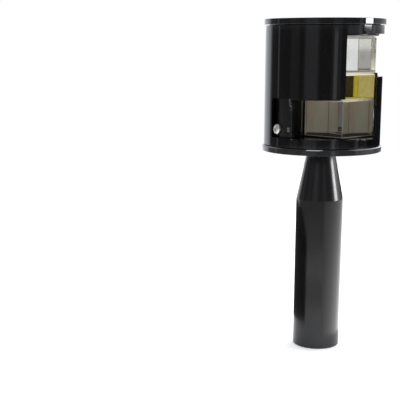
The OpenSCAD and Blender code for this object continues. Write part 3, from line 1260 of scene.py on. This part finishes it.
@dataclass
class GlassStack:
    """The two pentaprisms, the amber sighting block between them and their pads."""

    finish: FinishSet
    prism_face: float = 16.5
    eye_offset: float = 15.85
    sight_depth: float = 16.5
    arris: float = 0.04
    joint_gap: float = 0.02
    rear_chamfer: float = 1.4
    coat: float = 0.2
    coat_lift: float = 0.02
    coat_margin: float = 0.75

    @property
    def half(self) -> float:
        """Half the width of a clear face."""
        return self.prism_face / 2

    def outline(self, side: int) -> list[Point]:
        """Work out a pentaprism's corners.

        Args:
            side: 1 for the lower prism, which looks to -X, and -1 for the upper one, which looks to +X.

        Returns:
            The corners seen from above.
        """
        back = self.prism_face - self.eye_offset
        corners = [
            (-self.half, -self.eye_offset),
            (-self.half, back),
            (self.half, self.prism_face * math.sqrt(2) - self.eye_offset),
            (self.prism_face * math.sqrt(2) - self.half, back),
            (self.half, -self.eye_offset),
        ]
        return [(x * side, y) for x, y in corners]

    def block_outline(self) -> list[Point]:
        """Return the sighting block's corners seen from above, with its bevelled rear right edge."""
        back = self.sight_depth - self.eye_offset
        return [
            (-self.half, -self.eye_offset),
            (self.half, -self.eye_offset),
            (self.half, back - self.rear_chamfer),
            (self.half - self.rear_chamfer, back),
            (-self.half, back),
        ]

    def grind(self, blank: Blank) -> Object:
        """Make one piece of glass with ground edges.

        Args:
            blank: What it is made from.

        Returns:
            The piece, closed, with its own face materials.
        """
        low, high = (z + lift for z, lift in zip(node_heights(blank.node), (self.joint_gap, -self.joint_gap)))
        mesh = prism_mesh(blank.name, blank.outline, low, high)
        piece = link(blank.name, mesh)
        faces = [*blank.sides, blank.bottom, blank.top]
        rings = [blank.upright, blank.low, blank.high]
        bevels = [material for ring in rings for material in (ring.front, ring.rest)]
        for material in dict.fromkeys(faces + bevels + [self.finish.dim_ground]):
            mesh.materials.append(material)
        slots = {material: slot for slot, material in enumerate(mesh.materials)}
        for polygon, material in zip(mesh.polygons, faces):
            polygon.material_index = slots[material]

        def level_at(height: float) -> Callable[[BMEdge], bool]:
            """Return the test for edges at a height."""
            return lambda edge: all(abs(v.co.z - height * MM) < FLAT_TOLERANCE for v in edge.verts)

        def upright(edge: BMEdge) -> bool:
            """Tell whether an edge goes up the glass."""
            start, end = (v.co for v in edge.verts)
            return abs(start.z - end.z) > UPRIGHT_LENGTH

        fresh = len(slots)
        for ring, chosen in zip(rings, (upright, level_at(low), level_at(high))):
            bevel(piece, ring.width, fresh, chosen)
            front = (ring.width - self.eye_offset) * MM
            for polygon in mesh.polygons:
                if polygon.material_index == fresh:
                    polygon.material_index = slots[ring.front if polygon.center.y < front else ring.rest]
        dim = slots[self.finish.dim_ground]
        bevel(piece, self.arris, dim, lambda edge: edge.calc_face_angle(0.0) > ARRIS_ANGLE)
        return piece

    def blanks(self) -> list[Blank]:
        """Return the three pieces of glass, from the bottom up."""
        f = self.finish
        # The ground finishes glow with painted light, a different amount on each face and bevel
        return [
            Blank(
                name="lower_pentaprism",
                node="lower_prism",
                slot="prism_glass",
                outline=self.outline(1),
                sides=[f.glass, f.silver, f.fifth, f.silver, f.glass],
                bottom=f.blacked,
                top=f.ground,
                upright=Bevel(0.08, f.dim_ground),
                low=Bevel(0.25, f.fifth),
                high=Bevel(0.6, f.bright_ground),
            ),
            Blank(
                name="amber_sighting_block",
                node="sighting_block",
                slot="amber_glass",
                outline=self.block_outline(),
                sides=[f.amber, f.amber_ground, f.amber_edge, f.amber, f.amber_ground],
                bottom=f.amber_ground,
                top=f.amber_ground,
                upright=Bevel(0.2, f.amber_edge),
                low=Bevel(0.2, f.amber_edge),
                high=Bevel(0.5, f.amber_ground),
            ),
            Blank(
                name="upper_pentaprism",
                node="upper_prism",
                slot="prism_glass",
                outline=self.outline(-1),
                sides=[f.glass, f.silver, f.lit_ground, f.silver, f.glass],
                bottom=f.lit_ground,
                top=f.bright_ground,
                upright=Bevel(0.15, f.bright_ground),
                # Its front takes the dimmer-glowing finish: painted shade at the front of the bevel
                low=Bevel(0.45, f.bright_ground, own_front=f.fifth),
                high=Bevel(0.9, f.bright_ground),
            ),
        ]

    def build(self) -> None:
        """Build the glass and the mirrors' backs, and dress the pads."""
        for blank in self.blanks():
            place(self.grind(blank), Body.HEAD, blank.slot, blank.node)
        self.mirror_backs("lower_mirror_backs", 1, *node_heights("lower_prism"))
        self.mirror_backs("upper_mirror_backs", -1, *node_heights("upper_prism"))
        dress(self.finish.cork, "seat_pad", "top_pad")

    def mirror_backs(self, node: str, side: int, low: float, high: float) -> None:
        """Make the lacquered backs of one prism's two silvered faces.

        Args:
            node: The CAD node that they stand for.
            side: As in outline().
            low: The prism's bottom.
            high: The prism's top.
        """
        corners, margin = self.outline(side), self.coat_margin
        mesh = bpy.data.meshes.new(node + "_lacquered")
        with opened(mesh) as cage:
            for first, second in ((1, 2), (3, 4)):
                start, end = Vector(corners[first]), Vector(corners[second])
                along = (end - start).normalized()
                outwards = Vector((along.y, -along.x)) * -side
                start, end = start + along * margin, end - along * margin
                inner = (start + outwards * self.coat_lift, end + outwards * self.coat_lift)
                outer = (end + outwards * self.coat, start + outwards * self.coat)
                outline = [tuple(point) for point in (*inner, *outer)]
                cage.from_mesh(prism_mesh("plate", outline, low + margin, high - margin))
        mesh.materials.append(self.finish.lacquer)
        place(link(mesh.name, mesh), Body.HEAD, "silvering", node)


@dataclass(frozen=True)
class Openings:
    """The windows of a tube round the glass: one to the eye, one to each side and one at the rear.

    The eye's window reaches from left to right of the middle, and from the sill below the glass to the head
    above it. A side window goes on from it to its edge along Y, and laps past the amber block's near face.
    """

    left: float
    right: float
    left_edge: float
    right_edge: float
    head: float
    left_lap: float
    right_lap: float
    overlap: float
    sill: float = 0.3
    rear_half: float = 8.0
    rear_lap: float = 0.6

    def cutters(self, radius: float) -> list[Object]:
        """Make the solids that cut the windows.

        Args:
            radius: The tube's radius.

        Returns:
            One solid for each window.
        """
        low, high = node_heights("lower_prism")[0] - self.sill, node_heights("upper_prism")[1] + self.head
        sight_low, sight_high = node_heights("sighting_block")
        reach, left, right = radius + CLEAR, self.overlap - self.left, self.right - self.overlap
        rear = (sight_low + self.rear_lap, sight_high - self.rear_lap)
        windows = (
            Window(Axis.Y, (-self.left, self.right), (low, high), (-reach, 0)),
            Window(Axis.X, (-reach, self.left_edge), (low, sight_low + self.left_lap), (-reach, left)),
            Window(Axis.X, (-reach, self.right_edge), (sight_high - self.right_lap, high), (right, reach)),
            Window(Axis.Y, (-self.rear_half, self.rear_half), rear, (0, reach)),
        )
        return [window.cutter() for window in windows]


@dataclass
class Drum:
    """The fixed inner tube with its windows, blocks and small screws."""

    finish: FinishSet
    lathe: Lathe
    openings: Openings = Openings(
        left=9.3,
        right=9.3,
        left_edge=-2.2,
        right_edge=-2.2,
        head=0.1,
        left_lap=-0.1,
        right_lap=-0.1,
        overlap=0.35,
    )
    wall: float = 1.4
    edge: float = 0.1
    stop_angle: float = 101.6
    stop_rise: float = 2.45
    stop_head_radius: float = 1.75
    stop_head_height: float = 1.3
    stop_radius: float = 1.0
    stop_length: float = 6.0
    stop_edge: float = 0.05
    crown_share: float = 0.7
    recess_arm: float = 1.05
    recess_blade: float = 0.4
    recess_floor: float = 0.585
    grub_angle: float = 87.0
    grub_hole: float = 0.85

    def build(self) -> None:
        """Build the drum and the stop screw, and dress the blocks and their screws."""
        radius = node_radius("drum")
        low, high = node_heights("drum")
        inner = radius - self.wall
        corners = [(inner, low, 0), (radius, low, 0), (radius, high, 0), (inner, high, 0)]
        tube = self.lathe.turn("window_drum", corners, self.finish.inside, tube=True)
        tube = cut(tube, self.openings.cutters(radius) + self.grub_holes(radius), self.edge)
        shade(tube, (radius, inner))
        place(tube, Body.HEAD, "inner_black", "drum")
        dress(self.finish.inside, "left_block", "right_block")
        dress(self.finish.blued, "block_screws")
        self.stop_screw(radius)

    def on_wall(self, angle: float, radius: float, height: float) -> Matrix:
        """Return the matrix that stands a piece's +Z outwards on the drum, as the CAD does."""
        outwards = Matrix.Rotation(math.radians(angle), 4, "Z") @ Matrix.Translation((0, -radius * MM, 0))
        return Matrix.Translation((0, 0, height * MM)) @ outwards @ Matrix.Rotation(math.pi / 2, 4, "X")

    def grub_holes(self, radius: float) -> list[Object]:
        """Make the solids that cut the holes of the three headless screws.

        Args:
            radius: The drum's radius.

        Returns:
            One solid for each hole.
        """
        low = node_heights("lower_prism")[0] + self.stop_rise
        high = node_heights("upper_prism")[1] - self.stop_rise
        foot = -self.wall - CLEAR / 2
        corners = [(0, foot, 0), (self.grub_hole, foot, 0), (self.grub_hole, CLEAR, 0), (0, CLEAR, 0)]
        holes = []
        for angle, height in ((-self.grub_angle, low), (self.grub_angle, high), (self.stop_angle, high)):
            hole = self.lathe.turn("grub_hole_cutter", corners, self.finish.inside)
            hole.data.transform(self.on_wall(angle, radius, height))
            holes.append(hole)
        return holes

    def stop_screw(self, radius: float) -> None:
        """Make the bright pan head screw that stops the shutter.

        Args:
            radius: The drum's radius.
        """
        head, rise, crown = self.stop_head_radius, self.stop_head_height, self.crown_share
        corners = [
            (0, -self.stop_length, 0),
            (self.stop_radius, -self.stop_length, 0),
            (self.stop_radius, 0, 0),
            (head, 0, 0.08),
            (head, rise * crown, 0.3),
            (head * crown, rise, 0.4),
            (0, rise, 0),
        ]
        screw = self.lathe.turn("stop_screw_pan_head", corners, self.finish.nickel)
        arm, half = self.recess_arm, self.recess_blade / 2
        cutters = []
        for turn in (45, 135):
            outline = [(-arm, -half), (arm, -half), (arm, half), (-arm, half)]
            mesh = prism_mesh("recess_cutter", outline, self.recess_floor, rise * 2)
            mesh.transform(Matrix.Rotation(math.radians(turn), 4, "Z"))
            cutters.append(link("recess_cutter", mesh))
        screw = cut(screw, cutters, self.stop_edge)
        height = node_heights("lower_prism")[0] + self.stop_rise
        screw.data.transform(self.on_wall(-self.stop_angle, radius, height))
        shade(screw)
        place(screw, Body.HEAD, "stop_screw_nickel", "stop_screw")


@dataclass
class Shutter:
    """The outer sleeve that turns to close every window."""

    finish: FinishSet
    lathe: Lathe
    openings: Openings = Openings(
        left=9.42,
        right=4.7,
        left_edge=5.81,
        right_edge=-4.16,
        head=0.5,
        left_lap=0.35,
        right_lap=1.0,
        overlap=0.6,
    )
    wall: float = 1.2
    chamfer: float = 0.1
    chamfer_ease: float = 0.02
    edge: float = 0.2

    def build(self) -> None:
        """Turn the sleeve and mill its windows."""
        radius = node_radius("shutter_sleeve")
        low, high = node_heights("shutter_sleeve")
        inner, chamfer, ease = radius - self.wall, self.chamfer, self.chamfer_ease
        corners = [
            (inner, low, 0),
            (radius - chamfer, low, ease),
            (radius, low + chamfer, ease),
            (radius, high - chamfer, ease),
            (radius - chamfer, high, ease),
            (inner, high, 0),
        ]
        sleeve = self.lathe.turn("milled_sleeve", corners, self.finish.worn_gloss, tube=True)
        # The windows' eased edges take the lighter enamel: a painted highlight along them, with chips of wear
        # at the sill
        sleeve.data.materials.append(self.finish.edge_wear_and_highlight)
        sleeve = cut(sleeve, self.openings.cutters(radius), self.edge, edge_slot=1)
        shade(sleeve, (radius, inner))
        place(sleeve, Body.SHUTTER, "gloss_enamel", "shutter_sleeve")


# Studio


@dataclass(frozen=True)
class Glow:
    """A soft bright patch of the studio round the object, by direction."""

    name: str
    bearing: float
    half_width: float
    level: float
    soft: float = 3.0
    low: float = -90.0
    high: float = 60.0
    fade: float = 6.0


@dataclass(frozen=True)
class Stop:
    """One upright of a card: its bearing and height, and the card's brightness at its foot and its top."""

    bearing: float
    height: float
    foot: float
    top: float

    def towards(self, other: "Stop", share: float) -> tuple[float, ...]:
        """Return the bearing, height, foot and top at a share of the way to another upright."""
        return tuple(start + (end - start) * share for start, end in zip(astuple(self), astuple(other)))


@dataclass(frozen=True)
class Card:
    """A curved card round the handle, graded from stop to stop, which only reflections see."""

    name: str
    radius: float
    stops: tuple[Stop, ...]


@dataclass
class Studio:
    """The white floor, the soft lights and the camera."""

    view_bearing: float = -49.6
    view_distance: float = 344.436
    view_height: float = 106.729
    view_pan: float = 8.805
    view_tilt: float = 11.418
    view_roll: float = -0.0735
    lens: float = 87.945
    shift: Point = (0.075, 0.1)
    floor_radius: float = 520.0
    ambient: float = 0.13
    card_steps: int = 12
    card_lift: float = 0.5
    light_target: float = 90.0

    def build(self) -> None:
        """Make the camera first, then the floor, the surroundings and the lights."""
        self.camera()
        self.floor()
        for card in self.cards():
            self.stand(card)
        self.surroundings()
        self.soft_light("window_light", (91, 8.2), 900, (300, 185), 3.0, "RECTANGLE")
        self.soft_light("overhead_light", (-57, 81.5), 1100, (300, 400), 2.4, "ELLIPSE")
        view = bpy.context.scene.view_settings
        view.view_transform = "Standard"
        view.look = "None"

    def towards(self, bearing: float, elevation: float = 0.0) -> Vector:
        """Return a direction, with the bearing in degrees from the camera's, positive to its right."""
        angle, lift = math.radians(self.view_bearing + bearing), math.radians(elevation)
        return Vector((math.sin(angle) * math.cos(lift), -math.cos(angle) * math.cos(lift), math.sin(lift)))

    def camera(self) -> None:
        """Place the camera at the photograph's viewpoint."""
        data = bpy.data.cameras.new("viewpoint")
        data.sensor_width = 36.0
        data.lens = self.lens
        data.shift_x, data.shift_y = self.shift
        data.clip_start, data.clip_end = 0.01, 20.0
        camera = bpy.data.objects.new("viewpoint", data)
        bpy.context.scene.collection.objects.link(camera)
        stand = self.towards(0) * self.view_distance * MM
        stand.z = self.view_height * MM
        turns = (
            Matrix.Rotation(math.radians(self.view_bearing + self.view_pan), 4, "Z")
            @ Matrix.Rotation(math.radians(90 - self.view_tilt), 4, "X")
            @ Matrix.Rotation(math.radians(self.view_roll), 4, "Z")
        )
        camera.matrix_world = Matrix.Translation(stand) @ turns
        bpy.context.scene.camera = camera

    def floor(self) -> None:
        """Lay the round sheet of white paper."""
        mesh = bpy.data.meshes.new("paper_floor")
        with opened(mesh) as cage:
            bmesh.ops.create_circle(cage, cap_ends=True, segments=128, radius=self.floor_radius * MM)
        mesh.materials.append(StudioPaper().make())
        sheet = link("paper_floor", mesh)

    def cards(self) -> tuple[Card, ...]:
        """Return the cards that shape the handle's reflections, with bearings from the camera's direction."""
        dark = 0.09
        uprights = ((-52, 32), (-65, 38), (-84, 44), (-178, 50))
        return (
            Card("black_flag", 38, tuple(Stop(*upright, dark, dark) for upright in uprights)),
            Card("near_card", 60, (Stop(-62, 12, 0.95, 0.8), Stop(62, 12, 0.95, 0.8))),
            Card("front_card", 150, (Stop(-110, 45, 0.68, 0.3), Stop(62, 45, 0.68, 0.3))),
            Card("right_card", 22, (Stop(20, 52, 1.25, 0.7), *(Stop(a, 52, 3.4, 1.3) for a in (80, 165)))),
        )

    def stand(self, card: Card) -> None:
        """Stand a card on the floor as a grid whose level attribute drives its brightness.

        Args:
            card: What it is made from.
        """
        steps = self.card_steps
        shares = [i / steps for i in range(steps + 1)]
        verts, levels = [], []
        for start, end in zip(card.stops, card.stops[1:]):
            for t in shares:
                bearing, height, foot, top = start.towards(end, t)
                away = self.towards(bearing) * card.radius * MM
                for share in shares:
                    verts.append((away.x, away.y, (self.card_lift + height * share) * MM))
                    levels.append(foot + (top - foot) * share)
        row = steps + 1
        corners = [i * row + j for i in range(len(verts) // row - 1) if (i + 1) % row for j in range(steps)]
        mesh = bpy.data.meshes.new(card.name)
        mesh.from_pydata(verts, [], [(k, k + 1, k + row + 1, k + row) for k in corners])
        mesh.attributes.new("level", "FLOAT", "POINT").data.foreach_set("value", levels)
        board = CardBoard(card.name + "_board").make()
        board.cycles.emission_sampling = "NONE"
        mesh.materials.append(board)
        piece = link(card.name, mesh)
        for ray in ("camera", "diffuse", "shadow", "transmission"):
            setattr(piece, "visible_" + ray, False)

    def glows(self) -> tuple[Glow, ...]:
        """Return the bright patches, with bearings from the camera's direction."""
        return (
            Glow("backdrop_left", -155.0, 31.0, 1.25, 14.0, -90, 50),
            Glow("upper_room", 0.0, 190.0, 0.12, 3.0, 0.9, 90, 0.3),
            Glow("ceiling", 0.0, 190.0, 0.35, 3.0, 75, 90, 45),
            Glow("floor_beyond", 0.0, 190.0, 0.4, 3.0, -90, -6.0, 0.1),
            Glow("floor_beyond_right", 97.0, 22.0, 0.6, 20.0, -90, -6.0, 0.1),
            Glow("haze_front", 62.0, 17.0, 0.36, 6.0, -0.2, 0.8, 0.3),
            Glow("haze_right", 135.0, 30.0, 0.4, 8.0, 1.0, 50, 2.0),
            Glow("backdrop_high", 140.0, 32.0, 3.0, 10.0, 8, 60),
            Glow("far_patch", 148.0, 12.0, 0.2, 8.0, -0.3, 0.9, 0.3),
            Glow("right_patch", 100.0, 13.0, 0.5, 8.0, -0.3, 0.9, 0.3),
            Glow("dark_right", 140.0, 40.0, -0.11, 3.0, -90, -0.5, 0.3),
            Glow("window_foot", 91.0, 9.5, 7.5, 0.7, 1.0, 3.5, 0.15),
            Glow("far_left_gap", -97.0, 2.0, 0.42, 1.5, -90, 12),
            Glow("left_wall", -57.0, 9.0, 0.1, 6.0, -90, 25),
            Glow("front_wall", -23.0, 13.0, 0.3, 9.0, -90, 40),
            Glow("front_card", 23.2, 3.3, 0.6, 1.0, -90, 0.4, 0.6),
            Glow("front_card_halo", 25.0, 9.0, 0.17, 5.0, -90, 30),
            Glow("right_wall", 72.0, 4.0, 0.4, 3.0, -90, 30),
        )

    def surroundings(self) -> None:
        """Light the world: a dim room with bright patches, white where the camera sees past the floor."""
        world = bpy.data.worlds.new("studio_room")
        bpy.context.scene.world = world
        world.use_nodes = True
        tree = world.node_tree
        tree.nodes.clear()
        direction = add(tree, "ShaderNodeTexCoord").outputs["Generated"]
        x, y, z = add(tree, "ShaderNodeSeparateXYZ", (direction,)).outputs
        away_y = add(tree, "ShaderNodeMath", (y, -1.0), operation="MULTIPLY")
        bearing = add(tree, "ShaderNodeMath", (x, away_y), operation="ARCTAN2")
        elevation = add(tree, "ShaderNodeMath", (z,), operation="ARCSINE")
        level: Node | float = self.ambient
        for glow in self.glows():
            middle = self.view_bearing + glow.bearing
            centre, half, soft = map(math.radians, (middle, glow.half_width, glow.soft))
            high, low, edge = map(math.radians, (glow.high, glow.low, glow.fade))
            gap = add(tree, "ShaderNodeMath", (bearing, centre), operation="SUBTRACT")
            gap = add(tree, "ShaderNodeMath", (gap, math.pi, -math.pi), operation="WRAP")
            gap = add(tree, "ShaderNodeMath", (gap,), operation="ABSOLUTE")
            mask: Node | float = glow.level
            for span in (
                (gap, half - soft / 2, half + soft / 2, 1, 0),
                (elevation, high, high + edge, 1, 0),
                (elevation, low - edge, low, 0, 1),
            ):
                share = add(tree, "ShaderNodeMapRange", span, interpolation_type="SMOOTHSTEP")
                mask = add(tree, "ShaderNodeMath", (mask, share), operation="MULTIPLY")
            level = add(tree, "ShaderNodeMath", (level, mask), operation="ADD", label=glow.name)
        room = add(tree, "ShaderNodeBackground", {"Color": "#F8FAFF", "Strength": level})
        white = add(tree, "ShaderNodeBackground", {"Color": "#FFFFFF", "Strength": 1.0})
        seen = add(tree, "ShaderNodeLightPath").outputs["Is Camera Ray"]
        mix = add(tree, "ShaderNodeMixShader", (seen, room, white))
        add(tree, "ShaderNodeOutputWorld", {"Surface": mix})

    def soft_light(
        self, name: str, bearings: Point, distance: float, size: Point, watts: float, shape: str
    ) -> None:
        """Hang a soft light that faces the head.

        Args:
            name: The light's name.
            bearings: Its bearing from the camera's and its elevation from the head, in degrees.
            distance: Its distance from the head, in millimetres.
            size: Its width and height in millimetres.
            watts: Its power.
            shape: Blender's name for its outline.
        """
        data = bpy.data.lights.new(name, "AREA")
        data.shape = shape
        data.size, data.size_y = size[0] * MM, size[1] * MM
        data.energy = watts
        light = bpy.data.objects.new(name, data)
        bpy.context.scene.collection.objects.link(light)
        away = self.towards(*bearings)
        light.location = Vector((0, 0, self.light_target * MM)) + away * distance * MM
        light.rotation_mode = "QUATERNION"
        light.rotation_quaternion = (-away).to_track_quat("-Z", "Y")
        light.visible_camera = False


def main() -> None:
    """Build the camera and studio, then every sub-assembly, and report each piece."""
    logging.basicConfig(level=logging.INFO, format="%(message)s")
    Studio().build()
    finish = FinishSet()
    lathe = Lathe()
    Handle(finish, lathe).build()
    Housing(finish, lathe).build()
    Drum(finish, lathe).build()
    GlassStack(finish).build()
    Shutter(finish, lathe).build()


if __name__ == "__main__":
    main()
